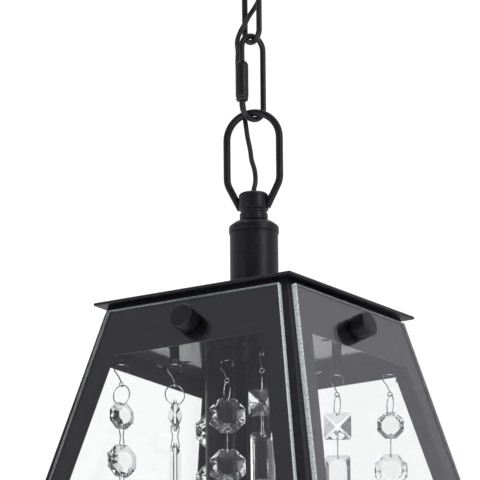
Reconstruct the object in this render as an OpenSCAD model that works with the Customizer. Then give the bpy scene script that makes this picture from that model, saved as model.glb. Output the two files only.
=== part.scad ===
// Hanging glass lantern: a square tapered shade on a chain, with crystal strands round four lamps.
// Millimetres. The origin is the middle of the ceiling face of the crossbar, and +Z is up.

/* [Roof and stem] */
// Width of the square roof plate
roof_w = 160; // [152:1:200]
// Thickness of the roof plate
roof_t = 2; // [1:0.5:4]
// Outer diameter of the stem tube
stem_d = 33.4; // [26:0.2:44]
// Height of the stem tube
stem_h = 54; // [40:1:80]
// Wall of the stem tube
stem_wall = 1.5; // [1:0.25:3]
// Height of the cap on the stem tube, with its shoulder
cap_h = 8; // [6:0.5:12]
// Diameter of the neck below the hub
neck_d = 19.5; // [18:0.5:24]
// Height of the neck
neck_h = 7; // [5:0.5:12]
// Diameter of the hub that carries the top loop
hub_d = 20.5; // [19:0.5:26]
// Height of the hub above its groove
hub_h = 12; // [10:0.5:16]

/* [Shade frame] */
// Outer width of the sheet frame under the roof
frame_top_w = 145.6; // [120:0.2:150]
// Outer width of the sheet frame at its bottom edge
frame_bottom_w = 290; // [240:1:340]
// Height of the sheet frame
frame_h = 286; // [240:1:340]
// Thickness of the frame sheet
sheet_t = 1.2; // [0.8:0.1:2]
// Height of the closed band under the roof
band_h = 39; // [36:1:55]
// Width of each corner strip beside a window
strip_w = 22.4; // [16:0.2:30]
// Height of the rail under a window
rail_h = 24; // [16:1:40]
// Height of the turned-up lip that holds the panes
lip_h = 9; // [6:0.5:14]

/* [Panes and knobs] */
// Thickness of a glass pane
pane_t = 4; // [3:0.5:6]
// Distance from a frame corner to the edge of a pane, at the pane's top
pane_inset = 4.6; // [4:0.2:12]
// Distance from a frame corner to the edge of a pane, at the pane's bottom
pane_inset_low = 9; // [4:0.2:14]
// Drop of a pane's top edge below the roof plate
pane_drop = 5.25; // [3:0.25:9]
// Diameter of a pane knob
knob_d = 17.5; // [14:0.5:22]
// Length of a pane knob
knob_l = 11; // [9:0.5:18]
// Height of the knob centres below the roof plate
knob_drop = 26; // [22:1:28]
// Thread diameter of a pane stud
stud_d = 5; // [4:0.5:6]

/* [Lamps] */
// Depth of the ceiling pan below the roof plate
pan_drop = 28; // [26:1:32]
// Thickness of the ceiling pan
pan_t = 1; // [0.8:0.1:2]
// Diameter of the four vent holes in the pan
vent_d = 5.5; // [4:0.5:8]
// Distance of a vent hole from the middle
vent_r = 55; // [50:1:62]
// Diameter of a lamp sleeve
sleeve_d = 20; // [18:0.5:22]
// Length of a lamp sleeve
sleeve_h = 98; // [70:1:120]
// Distance of a lamp from each middle plane
lamp_off = 17; // [16:0.5:19]
// Largest diameter of a bulb
bulb_d = 26; // [22:1:30]
// Length of a bulb below its sleeve
bulb_h = 72; // [55:1:90]

/* [Crystal strands] */
// Depth of the hook pins below the pan
tab_h = 13; // [11:0.5:16]
// Width of a hanger tab
tab_w = 6.6; // [6:0.2:9]
// Diameter of a hook pin
pin_d = 1.1; // [1:0.1:1.6]
// Drop from a hook pin to the middle of its eye
hook_h = 14.2; // [12:0.5:18]
// Outer diameter of a hanging ring
ring_d = 14.6; // [12:0.5:18]
// Small octagon bead across its flats
octagon_s = 18.4; // [14:0.5:22]
// Large octagon bead across its flats
octagon_l = 22.4; // [18:0.5:28]
// Middle strand bead across its flats
octagon_m = 24.4; // [20:0.5:28]
// Side of a square bead
square_w = 18.8; // [14:0.5:22]
// Length of a bar crystal
bar_h = 76; // [50:1:100]
// Distance between two bead holes that a bow-tie joins
tie_h = 15.6; // [12:0.2:20]

/* [Chain and canopy] */
// Wire of the top loop
loop_wire = 5; // [4:0.5:6]
// Outer width of the top loop
loop_w = 43; // [38:1:50]
// Height of the top loop above its pins, to its wire's centre
loop_h = 66.5; // [58:0.5:80]
// Wire of the chain links and the quick link
link_wire = 4; // [3:0.5:5]
// Outer width of a chain link
link_w = 20; // [18:0.5:24]
// Outer length of a chain link
link_l = 56; // [50:1:62]
// Outer width of the quick link
quick_w = 22.6; // [20:0.2:28]
// Outer length of the quick link
quick_l = 64; // [58:1:72]
// Diameter of the canopy
canopy_d = 120; // [110:1:140]
// Depth of the canopy
canopy_h = 25; // [20:1:32]
// Length of the crossbar
bar_l = 106; // [104:1:108]

/* [Hidden] */
$fn = 48;

black = "#1c1c20";
steel = "#a8aab0";
chrome = "#d8dade";
clear = "#cfe6ea";

run_gap = 0.05;      // running clearance of a pin in its bore, on the radius
link_gap = 0.3;      // space between two links that hang in each other
fit_gap = 0.2;       // space between pieces that are only laid together
side_gap = 0.8;      // space beside the panes and the pan

nipple_d = 10;
nipple_bore = 6;
nut_h = 6;
nut_d = 17;
crossbar_t = 2;
crossbar_w = 20;
slot_w = 4.8;
slot_l = 17;
slot_at = 39.5;      // each slot's middle from the crossbar's middle
canopy_t = 1.2;
collar_d = 22;
collar_top = -14;
ring_nut_h = 6;
eye_wire = 4.5;      // wire of the canopy loop's ring
eye_r = 11;          // radius of that ring's centreline
cord_d = 3.4;
cord_gap = 0.3;

// The way each link's plane faces, as the turn of its width from +X
loop_turn = 16;
quick_turn = 71;
chain_turn = -19;

// Heights, from the ceiling down
collar_bottom = -(canopy_h + ring_nut_h + 2);
eye_z = collar_bottom - eye_r + 1.5;
eye_low_z = eye_z - eye_r;
upper_top_z = eye_low_z + eye_wire / 2 + link_gap + link_wire / 2;
upper_low_z = upper_top_z - (link_l - link_wire);
lower_top_z = upper_low_z + link_wire + link_gap;
lower_low_z = lower_top_z - (link_l - link_wire);
quick_top_z = lower_low_z + link_wire + link_gap;
quick_low_z = quick_top_z - (quick_l - link_wire);
loop_top_z = quick_low_z + link_wire / 2 + link_gap + loop_wire / 2;
pin_z = loop_top_z - loop_h;
groove_h = 2;
hub_pin_h = 3.5;     // height of the loop's pins above the groove
hub_z = pin_z - hub_pin_h - groove_h;
neck_z = hub_z - neck_h;
cap_z = neck_z - cap_h;
roof_z = cap_z - stem_h;
frame_z = roof_z - roof_t;
bottom_z = frame_z - frame_h;
hub_top_z = hub_z + groove_h + hub_h;

// The taper of the shade
flare = (frame_bottom_w - frame_top_w) / 2 / frame_h;
lean = atan(flare);
function half_at(z) = frame_top_w / 2 + flare * (frame_z - z);
sheet_off = sheet_t / cos(lean);
slot_off = (pane_t + 2 * fit_gap) / cos(lean);

// The ceiling pan and what hangs from it
pan_z = roof_z - pan_drop - roof_t;
stud_head_t = 1.5;
stud_head_d = 9;
pan_half = half_at(pan_z + pan_t) - sheet_off - stud_head_t - side_gap;
hook_z = pan_z - tab_h;
hook_w = tab_w + 2;
eye_d = 0.8;         // wire of the hook's eye, the rings and the bow-ties
hook_eye_r = 1.5;
hook_wire = 0.7;     // wire of a hook's two legs
hole_in = 2.2;       // a bead's hole from the bead's edge
bead_hole = 2;

// Each strand: place, turn of its hook pin, turn of its beads, kind
strands = [
    [-66, -65, 45, -22, "octagons"], [66, -65, -45, 20, "octagons"],
    [66, 65, 45, -57, "octagons"], [-66, 65, -45, 60, "octagons"],
    [-35.5, -45, 45, 33, "bar"], [35.5, -45, -45, -75, "bar"],
    [35.5, 45, 45, -57, "bar"], [-35.5, 45, -45, 100, "bar"],
    [0, -34, 0, -57, "pair"], [34, 0, 90, 10, "pair"],
    [0, 34, 0, -50, "pair"], [-34, 0, 90, -40, "pair"]];

// The cord's way up from the hub, woven through the links, to the canopy loop
cord_points = [
    [0, 0, -262], [0, 0, -256], [0.9, 1.1, -249], [0.2, 1.4, -241], [-2, 1, -233], [-3.5, 1.5, -225],
    [-5.5, 1.5, -216], [-7, 2, -208], [-8.5, 2.5, -200], [-9, 1.5, -191], [-9.5, -1.5, -182],
    [-8.5, -4, -174], [-9, -5, -165], [-8, -6, -156], [-7.3, -7.9, -149], [-5, -7.3, -142],
    [-2.5, -5, -136], [-1, -2, -130], [1, 1.5, -124], [3, 4, -118], [4.5, 5, -111], [5.5, 5, -103],
    [6.5, 4.5, -94], [7, 3.5, -85], [6.5, 3, -76], [6, 2.5, -67], [6, 2.5, -58], [5.7, 2, -50],
    [3.6, 1.4, -44], [1, 0.5, -39], [0, 0, -34], [0, 0, -28]];

function unit(v) = v / norm(v);
function way(p, i) = unit(p[min(i + 1, len(p) - 1)] - p[max(i - 1, 0)]);

// A round tube along points, with flat ends. It never runs along Y.
module tube_along(p, d, sides) {
    n = len(p);
    rings = [for (i = [0:n - 1])
        let (t = way(p, i), a = unit(cross(t, [0, 1, 0])), b = cross(t, a))
        for (s = [0:sides - 1]) p[i] + d / 2 * (cos(360 * s / sides) * a + sin(360 * s / sides) * b)];
    walls = [for (i = [0:n - 2], s = [0:sides - 1])
        let (e = (s + 1) % sides)
        [(i + 1) * sides + s, (i + 1) * sides + e, i * sides + e, i * sides + s]];
    polyhedron(rings, concat(
        [[for (s = [0:sides - 1]) s]], walls, [[for (s = [sides - 1:-1:0]) (n - 1) * sides + s]]));
}

// A square frustum that follows the shade's taper, moved out by off
module taper(high, low, off) {
    a = half_at(high) + off;
    b = half_at(low) + off;
    polyhedron([[-a, -a, high], [a, -a, high], [a, a, high], [-a, a, high],
        [-b, -b, low], [b, -b, low], [b, b, low], [-b, b, low]],
        [[3, 2, 1, 0], [4, 5, 6, 7], [0, 1, 5, 4], [1, 2, 6, 5], [2, 3, 7, 6], [3, 0, 4, 7]]);
}

// Onto one face of the shade: X along the face, Y up its slope, Z outwards, from the frame's top edge
module on_face(i) {
    rotate([0, 0, 90 * i]) translate([frame_top_w / 2, 0, frame_z]) rotate([0, -lean, 0])
        rotate([90, 0, 90]) children();
}

module bore(d, low, high) translate([0, 0, low]) cylinder(d = d, h = high - low);

module tilt_rod(d, a, b) {
    // A rod from a to b in the XZ plane
    v = b - a;
    translate([a[0], 0, a[1]]) rotate([0, atan2(v[0], v[1]), 0]) cylinder(d = d, h = norm(v));
}

// Half a torus whose ends point down, or up when turned over
module bend(r, d) rotate([90, 0, 0]) rotate_extrude(angle = 180) translate([r, 0]) circle(d = d, $fn = 32);

// A long link standing in the XZ plane between two centreline heights
module long_link(low, high, half, d, gap = [0, 0]) {
    straight_low = low + half;
    straight_high = high - half;
    translate([0, 0, straight_high]) bend(half, d);
    translate([0, 0, straight_low]) mirror([0, 0, 1]) bend(half, d);
    translate([half, 0, 0]) bore(d, straight_low, straight_high);
    translate([-half, 0, 0]) difference() {
        bore(d, straight_low, straight_high);
        if (gap[1] > gap[0]) bore(d + 2, gap[0], gap[1]);
    }
}

module hex_nut(z) difference() {
    translate([0, 0, z]) cylinder(d = nut_d, h = nut_h, $fn = 6);
    bore(nipple_d + 2 * run_gap, z - 1, z + nut_h + 1);
}

module crossbar() color(steel) difference() {
    translate([-bar_l / 2, -crossbar_w / 2, -crossbar_t]) cube([bar_l, crossbar_w, crossbar_t]);
    bore(nipple_d + 2 * run_gap, -crossbar_t - 1, 1);
    for (s = [-1, 1]) translate([s * slot_at, 0, -crossbar_t - 1]) {
        translate([-(slot_l - slot_w) / 2, -slot_w / 2, 0]) cube([slot_l - slot_w, slot_w, crossbar_t + 2]);
        for (e = [-1, 1]) translate([e * (slot_l - slot_w) / 2, 0, 0]) cylinder(d = slot_w, h = crossbar_t + 2);
    }
    for (s = [-1, 1]) translate([s * 20, 0, 0]) bore(4, -crossbar_t - 1, 1);
}

module ceiling_nipple() color(steel) difference() {
    bore(nipple_d, collar_top - 8, 0);
    bore(nipple_bore, collar_top - 9, 1);
}

module nipple_nuts() color(steel) hex_nut(-crossbar_t - nut_h);

module canopy() color(black) rotate_extrude($fn = 96) {
    r = canopy_d / 2;
    polygon([[r, 0], [r, -3], [r - 1.5, -4.5], [r - 3, -canopy_h + 6], [r - 5, -canopy_h + 2],
        [r - 9, -canopy_h], [collar_d / 2 + fit_gap, -canopy_h],
        [collar_d / 2 + fit_gap, -canopy_h + canopy_t], [r - 9.5, -canopy_h + canopy_t],
        [r - 6.2, -canopy_h + 2.9], [r - 4.2, -canopy_h + 6.2], [r - 2.8, -5],
        [r - canopy_t, -3.4], [r - canopy_t, 0]]);
}

module canopy_loop() color(black) difference() {
    union() {
        bore(collar_d, -canopy_h - ring_nut_h, collar_top);
        rotate_extrude() polygon([[0, -canopy_h - ring_nut_h], [collar_d / 2, -canopy_h - ring_nut_h],
            [collar_d / 2 - 5, collar_bottom], [0, collar_bottom]]);
        rotate([0, 0, chain_turn]) translate([0, 0, eye_z]) rotate([90, 0, 0])
            rotate_extrude() translate([eye_r, 0]) circle(d = eye_wire, $fn = 32);
    }
    bore(nipple_d + 2 * run_gap, collar_top - 8 - fit_gap, collar_top + 1);
    bore(cord_d + 2 * cord_gap, eye_z, collar_top);
}

module collar_ring() color(black) difference() {
    translate([0, 0, -canopy_h - ring_nut_h]) rotate_extrude()
        polygon([[0, 0], [collar_d / 2 + 2.5, 0], [collar_d / 2 + 4.5, 1.5],
            [collar_d / 2 + 4.5, ring_nut_h - 1], [collar_d / 2 + 3.5, ring_nut_h], [0, ring_nut_h]]);
    bore(collar_d + 2 * run_gap, -canopy_h - ring_nut_h - 1, 1 - canopy_h);
}

module chain_link(low, high, turn) color(black) rotate([0, 0, turn])
    long_link(low, high, (link_w - link_wire) / 2, link_wire);

module chain_link_upper() chain_link(upper_low_z, upper_top_z, quick_turn);
module chain_link_lower() chain_link(lower_low_z, lower_top_z, chain_turn);

quick_half = (quick_w - link_wire) / 2;
nut_low_z = quick_low_z + 11.5;
nut_l = 29;
opening_l = 8;       // length of the gap that the quick link's nut closes

module quick_link() color(black) rotate([0, 0, quick_turn])
    long_link(quick_low_z, quick_top_z, quick_half, link_wire, [nut_low_z + 1.5, nut_low_z + 1.5 + opening_l]);

module quick_link_nut() color(black) rotate([0, 0, quick_turn]) translate([-quick_half, 0, nut_low_z])
    difference() {
        rotate_extrude() polygon([[0, 0], [3.5, 0], [4.5, 1.2], [4.5, nut_l - 2.5], [3.2, nut_l], [0, nut_l]]);
        bore(link_wire + 2 * run_gap, -1, nut_l + 1);
    }

loop_half = (loop_w - loop_wire) / 2;
loop_bend_r = 16;
loop_bend_a = 27;
loop_pin_d = 3.6;
loop_flat = hub_d / 2 + link_gap;

// One leg of the top loop on +X: side, bend, slope and pin
module loop_leg() {
    bend_z = pin_z + 20.5;
    bend_x = loop_half - loop_bend_r * (1 - cos(loop_bend_a));
    low_z = bend_z - loop_bend_r * sin(loop_bend_a);
    end_z = pin_z - 2;
    pin_x = bend_x - (low_z - pin_z) * tan(loop_bend_a);
    end_x = bend_x - (low_z - end_z) * tan(loop_bend_a);
    translate([loop_half, 0, 0]) bore(loop_wire, bend_z, loop_top_z - loop_half);
    translate([loop_half - loop_bend_r, 0, bend_z]) rotate([-90, 0, 0])
        rotate_extrude(angle = loop_bend_a) translate([loop_bend_r, 0]) circle(d = loop_wire, $fn = 32);
    difference() {
        tilt_rod(loop_wire, [end_x, end_z], [bend_x, low_z]);
        translate([loop_flat - 20, -10, end_z - 10]) cube([20, 20, 40]);
    }
    translate([hub_d / 2 - 4.5, 0, pin_z]) rotate([0, 90, 0])
        cylinder(d = loop_pin_d, h = max(loop_flat, pin_x) + 1 - hub_d / 2 + 4.5);
}

module top_loop() color(black) rotate([0, 0, loop_turn]) {
    translate([0, 0, loop_top_z - loop_half]) bend(loop_half, loop_wire);
    loop_leg();
    mirror([1, 0, 0]) loop_leg();
}

module loop_hub() color(black) difference() {
    rotate_extrude() polygon([[0, neck_z], [neck_d / 2, neck_z], [neck_d / 2, hub_z - 0.6],
        [neck_d / 2 - 0.8, hub_z], [neck_d / 2 - 0.8, hub_z + groove_h - 0.4], [hub_d / 2, hub_z + groove_h],
        [hub_d / 2, hub_top_z - 0.8], [hub_d / 2 - 0.8, hub_top_z], [0, hub_top_z]]);
    bore(nipple_d + 2 * run_gap, neck_z - 1, hub_z);
    bore(cord_d + 2 * cord_gap, hub_z - 1, hub_top_z + 1);
    rotate([0, 0, loop_turn]) translate([-hub_d, 0, pin_z]) rotate([0, 90, 0])
        cylinder(d = loop_pin_d + 2 * run_gap, h = 2 * hub_d);
}

module stem_cap() color(black) difference() {
    r = stem_d / 2;
    union() {
        rotate_extrude($fn = 96) polygon([[0, cap_z], [r + 0.6, cap_z], [r + 0.6, cap_z + 0.62 * cap_h],
            [r - 0.2, cap_z + 0.72 * cap_h], [r - 3, cap_z + cap_h], [0, cap_z + cap_h]]);
        bore(stem_d - 2 * stem_wall - 2 * fit_gap, cap_z - 4, cap_z + 1);
    }
    bore(nipple_d + 2 * run_gap, cap_z - 5, neck_z + 1);
}

module stem_tube() color(black) difference() {
    translate([0, 0, roof_z]) cylinder(d = stem_d, h = stem_h, $fn = 96);
    bore(stem_d - 2 * stem_wall, roof_z - 1, cap_z + 1);
}

module stem_nipple() color(steel) difference() {
    bore(nipple_d, pan_z - nut_h - 2, hub_z - 1.5);
    bore(nipple_bore, pan_z - nut_h - 3, hub_z);
}

module stem_nuts() color(steel) {
    hex_nut(frame_z - nut_h);
    hex_nut(pan_z - nut_h);
}

module roof_plate() color(black) difference() {
    translate([-roof_w / 2, -roof_w / 2, frame_z]) cube([roof_w, roof_w, roof_t]);
    bore(nipple_d + 2 * run_gap, frame_z - 1, roof_z + 1);
}

window_top = frame_z - band_h;
window_low = bottom_z + rail_h;

module window_cut() {
    a = half_at(window_top) - strip_w;
    b = half_at(window_low) - strip_w;
    for (i = [0:3]) rotate([0, 0, 90 * i]) translate([frame_top_w / 4, 0, 0]) rotate([90, 0, 90])
        linear_extrude(frame_bottom_w) polygon([[-b, window_low], [b, window_low], [a, window_top], [-a, window_top]]);
}

module frame_shell() color(black) {
    floor_t = sheet_t;
    difference() {
        union() {
            taper(frame_z, bottom_z, 0);
            difference() {
                taper(bottom_z + lip_h, bottom_z - floor_t, slot_off + sheet_off);
                taper(bottom_z + lip_h + 1, bottom_z, slot_off);
            }
        }
        taper(frame_z + 1, bottom_z - floor_t - 1, -sheet_off);
        window_cut();
        for (i = [0:3]) on_face(i) translate([0, -(knob_drop - roof_t) / cos(lean), -5])
            cylinder(d = stud_d + 2 * run_gap, h = 10);
    }
}

module ceiling_pan() color(black) difference() {
    translate([-pan_half, -pan_half, pan_z]) cube([2 * pan_half, 2 * pan_half, pan_t]);
    bore(nipple_d + 2 * run_gap, pan_z - 1, pan_z + pan_t + 1);
    for (i = [0:3]) rotate([0, 0, 90 * i]) {
        translate([vent_r, 0, 0]) bore(vent_d, pan_z - 1, pan_z + pan_t + 1);
        translate([lamp_off, lamp_off, 0]) bore(nipple_bore, pan_z - 1, pan_z + pan_t + 1);
    }
}

// A strap with a forked end, whose two eyes carry a hook pin that lies along X
module hanger_tab() {
    prong = 1.2;
    foot_l = 7;
    difference() {
        union() {
            translate([-tab_w / 2, -0.5, 0]) cube([tab_w, 1, tab_h]);
            translate([-tab_w / 2, -0.5, tab_h - 1]) cube([tab_w, foot_l, 1]);
            for (s = [0, 1]) mirror([s, 0, 0]) translate([tab_w / 2 - prong, 0, 0]) rotate([0, 90, 0])
                cylinder(d = 3, h = prong);
        }
        translate([-tab_w / 2 + prong, -3, -3]) cube([tab_w - 2 * prong, 6, 3 + 3.2]);
        translate([-tab_w, 0, 0]) rotate([0, 90, 0]) cylinder(d = pin_d + 2 * run_gap, h = 2 * tab_w);
    }
}

module hanger_tabs() color(black) for (s = strands)
    translate([s[0], s[1], hook_z]) rotate([0, 0, s[2]]) hanger_tab();

module at_lamps() for (i = [0:3]) rotate([0, 0, 90 * i]) translate([lamp_off, lamp_off, 0]) children();

sleeve_low_z = pan_z - sleeve_h;
socket_d = sleeve_d - 3;
socket_h = 34;
base_d = 11.8;       // diameter of a bulb's screw base
base_h = 22;

module lamp_sleeves() color(black) at_lamps() difference() {
    bore(sleeve_d, sleeve_low_z, pan_z);
    bore(sleeve_d - 2, sleeve_low_z - 1, pan_z + 1);
}

module lamp_sockets() color("#d9d4c4") at_lamps() difference() {
    union() {
        bore(socket_d, sleeve_low_z + 2, sleeve_low_z + 2 + socket_h);
        bore(nipple_bore - 0.4, sleeve_low_z + 2 + socket_h - 0.5, pan_z + pan_t);
    }
    bore(base_d + 2 * run_gap, sleeve_low_z + 1, sleeve_low_z + 4 + base_h);
}

module bulb() {
    z = sleeve_low_z;
    color(steel) bore(base_d, z - 1, z + base_h);
    color("#f2efe6") rotate_extrude() polygon([[0, z - bulb_h], [1.2, z - bulb_h + 0.6],
        [0.22 * bulb_d, z - bulb_h + 16], [0.40 * bulb_d, z - bulb_h + 30], [0.49 * bulb_d, z - bulb_h + 43],
        [0.5 * bulb_d, z - 0.28 * bulb_h], [0.42 * bulb_d, z - 8], [0.27 * bulb_d, z - 1.5], [0, z - 1]]);
}

module bulb_at(i) rotate([0, 0, 90 * i]) translate([lamp_off, lamp_off, 0]) bulb();
module bulb_1() bulb_at(0);
module bulb_2() bulb_at(1);
module bulb_3() bulb_at(2);
module bulb_4() bulb_at(3);

knob_y = -(knob_drop - roof_t) / cos(lean);
knob_low = pane_t + 2 * fit_gap;

module pane_studs() color(steel) for (i = [0:3]) on_face(i) translate([0, knob_y, 0]) {
    bore(stud_head_d, -sheet_t - stud_head_t, -sheet_t);
    bore(stud_d, -sheet_t - 0.5, knob_low + knob_l - 5);
}

module pane(i) color(clear, 0.4) on_face(i) translate([0, 0, fit_gap]) difference() {
    top_y = -(pane_drop / cos(lean));
    low_y = -((frame_h - fit_gap) / cos(lean)) + pane_t * tan(lean);
    top_half = half_at(frame_z - pane_drop) - pane_inset;
    low_half = half_at(bottom_z + fit_gap) - pane_inset_low;
    linear_extrude(pane_t) polygon([[-low_half, low_y], [low_half, low_y], [top_half, top_y], [-top_half, top_y]]);
    translate([0, knob_y, 0]) bore(stud_d + 3, -1, pane_t + 1);
}
module pane_right() pane(0);
module pane_back() pane(1);
module pane_left() pane(2);
module pane_front() pane(3);

module knob(i) color(black) on_face(i) translate([0, knob_y, knob_low]) difference() {
    rotate_extrude($fn = 64) polygon([[0, 0], [knob_d / 2, 0], [knob_d / 2, knob_l - 0.8],
        [knob_d / 2 - 0.8, knob_l], [0, knob_l]]);
    bore(stud_d + 2 * run_gap, -1, knob_l - 4);
}
module knob_right() knob(0);
module knob_back() knob(1);
module knob_left() knob(2);
module knob_front() knob(3);

module supply_cord() color(black) tube_along(cord_points, cord_d, 8);

// --- strands, with the hook pin along X at the origin and the beads turned by turn ---
ring_r = (ring_d - eye_d) / 2;
eye_z0 = -hook_h;                                   // middle of the hook's eye
ring_z0 = eye_z0 - hook_eye_r + eye_d + 0.1 - ring_r; // middle of the ring, from its wire in the eye
hole_z0 = ring_z0 - ring_r - bead_hole / 2 + eye_d / 2 + 0.1; // the first bead's top hole

module torus(r, d) rotate_extrude() translate([r, 0]) circle(d = d, $fn = 16);

module hook(turn) {
    h = hook_w / 2;
    eye_top = eye_z0 + hook_eye_r;
    translate([-h + 0.3, 0, 0]) rotate([0, 90, 0]) cylinder(d = pin_d, h = 2 * h - 0.6, $fn = 24);
    tube_along([[-h + 1, 0, 0], [-h + 0.4, 0, -0.05], [-h - 0.2, 0, -0.6], [-h - 0.4, 0, -1.6], [-h - 0.5, 0, -3.6],
        [-h, 0, -5.4], [-h / 2, 0, -8.2], [-0.8, 0, eye_top + 1.6], [0, 0, eye_top]], hook_wire, 6);
    tube_along([[h - 1, 0, 0], [h - 0.4, 0, -0.05], [h + 0.2, 0, -0.6], [h + 0.4, 0, -1.6], [h + 0.1, 0, -5]],
        hook_wire, 6);
    translate([0, 0, eye_z0]) rotate([0, 0, turn]) rotate([0, 90, 0]) torus(hook_eye_r, eye_d);
}

// A thin stamped loop that joins the holes of two beads, between heights low and high
module bow_tie(low, high) {
    w = 6.4;
    m = 0.8;
    rotate([90, 0, 0]) linear_extrude(m, center = true) difference() {
        translate([-w / 2, low - m / 2]) square([w, high - low + m]);
        translate([-w / 2 + m, low + m / 2]) square([w - 2 * m, high - low - m]);
    }
}

// A faceted bead: an outline in the YZ plane, a girdle and a smaller table on both faces, top hole at z = 0
module bead(outline, size, thick, girdle, table, holes) difference() {
    translate([0, 0, hole_in - size[1] / 2]) rotate([90, 0, 90]) hull() {
        linear_extrude(girdle, center = true) polygon(outline);
        linear_extrude(thick, center = true) polygon([for (p = outline) [p[0] * table[0], p[1] * table[1]]]);
    }
    for (h = holes) translate([-thick, 0, h]) rotate([0, 90, 0]) cylinder(d = bead_hole, h = 2 * thick, $fn = 24);
}

function octagon(s) = [for (i = [0:7]) s / 2 / cos(22.5) * [cos(45 * i + 22.5), sin(45 * i + 22.5)]];
function box_outline(w, h, c) = [[-w / 2 + c, -h / 2], [w / 2 - c, -h / 2], [w / 2, -h / 2 + c], [w / 2, h / 2 - c],
    [w / 2 - c, h / 2], [-w / 2 + c, h / 2], [-w / 2, h / 2 - c], [-w / 2, -h / 2 + c]];

octagon_t = 8;
square_t = 10;
bar_w = 17;
bar_t = 8;
drop_h = 38;
drop_w = 18;

// The height of each bead's top hole, and its size, down one strand
function bead_sizes(kind) = kind == "octagons" ? [octagon_s, octagon_l, octagon_s, drop_h]
    : kind == "bar" ? [square_w, bar_h] : [octagon_m, octagon_m];
function bead_top(sizes, i) = i == 0 ? hole_z0 : bead_top(sizes, i - 1) - sizes[i - 1] + 2 * hole_in - tie_h;

module strand_crystals(s) color("#eef4f6", 0.6) translate([s[0], s[1], hook_z]) rotate([0, 0, s[3]]) {
    sizes = bead_sizes(s[4]);
    for (i = [0:len(sizes) - 1]) translate([0, 0, bead_top(sizes, i)]) {
        last = i == len(sizes) - 1;
        size = sizes[i];
        holes = last ? [0] : [0, 2 * hole_in - size];
        if (s[4] == "octagons" && last)
            bead([[0, -size / 2], [drop_w * 0.3, -size * 0.42], [drop_w / 2, -size * 0.2], [drop_w * 0.42, size * 0.1],
                [drop_w * 0.16, size / 2], [-drop_w * 0.16, size / 2], [-drop_w * 0.42, size * 0.1],
                [-drop_w / 2, -size * 0.2], [-drop_w * 0.3, -size * 0.42]], [0, size], 9, 1.6, [0.45, 0.55], holes);
        else if (s[4] == "bar" && i == 0)
            bead(box_outline(size, size, 1), [0, size], square_t, 1.6, [0.06, 0.06], holes);
        else if (s[4] == "bar")
            bead(box_outline(bar_w, size, 1.5), [0, size], bar_t, 2, [0.55, 0.88], holes);
        else
            bead(octagon(size), [0, size], octagon_t, 1.6, [0.5, 0.5], holes);
    }
}

module strand_wires(s) color(chrome) translate([s[0], s[1], hook_z]) {
    rotate([0, 0, s[2]]) hook(s[3] - s[2] + 90);
    rotate([0, 0, s[3]]) {
        sizes = bead_sizes(s[4]);
        translate([0, 0, ring_z0]) rotate([90, 0, 0]) torus(ring_r, eye_d);
        for (i = [0:len(sizes) - 2]) {
            high = bead_top(sizes, i) - sizes[i] + 2 * hole_in;
            bow_tie(high - tie_h, high);
        }
    }
}

module wires_1() strand_wires(strands[0]);
module wires_2() strand_wires(strands[1]);
module wires_3() strand_wires(strands[2]);
module wires_4() strand_wires(strands[3]);
module wires_5() strand_wires(strands[4]);
module wires_6() strand_wires(strands[5]);
module wires_7() strand_wires(strands[6]);
module wires_8() strand_wires(strands[7]);
module wires_9() strand_wires(strands[8]);
module wires_10() strand_wires(strands[9]);
module wires_11() strand_wires(strands[10]);
module wires_12() strand_wires(strands[11]);
module crystals_1() strand_crystals(strands[0]);
module crystals_2() strand_crystals(strands[1]);
module crystals_3() strand_crystals(strands[2]);
module crystals_4() strand_crystals(strands[3]);
module crystals_5() strand_crystals(strands[4]);
module crystals_6() strand_crystals(strands[5]);
module crystals_7() strand_crystals(strands[6]);
module crystals_8() strand_crystals(strands[7]);
module crystals_9() strand_crystals(strands[8]);
module crystals_10() strand_crystals(strands[9]);
module crystals_11() strand_crystals(strands[10]);
module crystals_12() strand_crystals(strands[11]);

crossbar();
ceiling_nipple();
nipple_nuts();
canopy();
canopy_loop();
collar_ring();
chain_link_upper();
chain_link_lower();
quick_link();
quick_link_nut();
top_loop();
loop_hub();
stem_cap();
stem_tube();
stem_nipple();
stem_nuts();
roof_plate();
frame_shell();
ceiling_pan();
hanger_tabs();
lamp_sleeves();
lamp_sockets();
pane_studs();
bulb_1();
bulb_2();
bulb_3();
bulb_4();
pane_right();
pane_back();
pane_left();
pane_front();
knob_right();
knob_back();
knob_left();
knob_front();
supply_cord();
wires_1();
wires_2();
wires_3();
wires_4();
wires_5();
wires_6();
wires_7();
wires_8();
wires_9();
wires_10();
wires_11();
wires_12();
crystals_1();
crystals_2();
crystals_3();
crystals_4();
crystals_5();
crystals_6();
crystals_7();
crystals_8();
crystals_9();
crystals_10();
crystals_11();
crystals_12();
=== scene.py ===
import math
import bmesh
import bpy
from mathutils import Matrix, Vector


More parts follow.
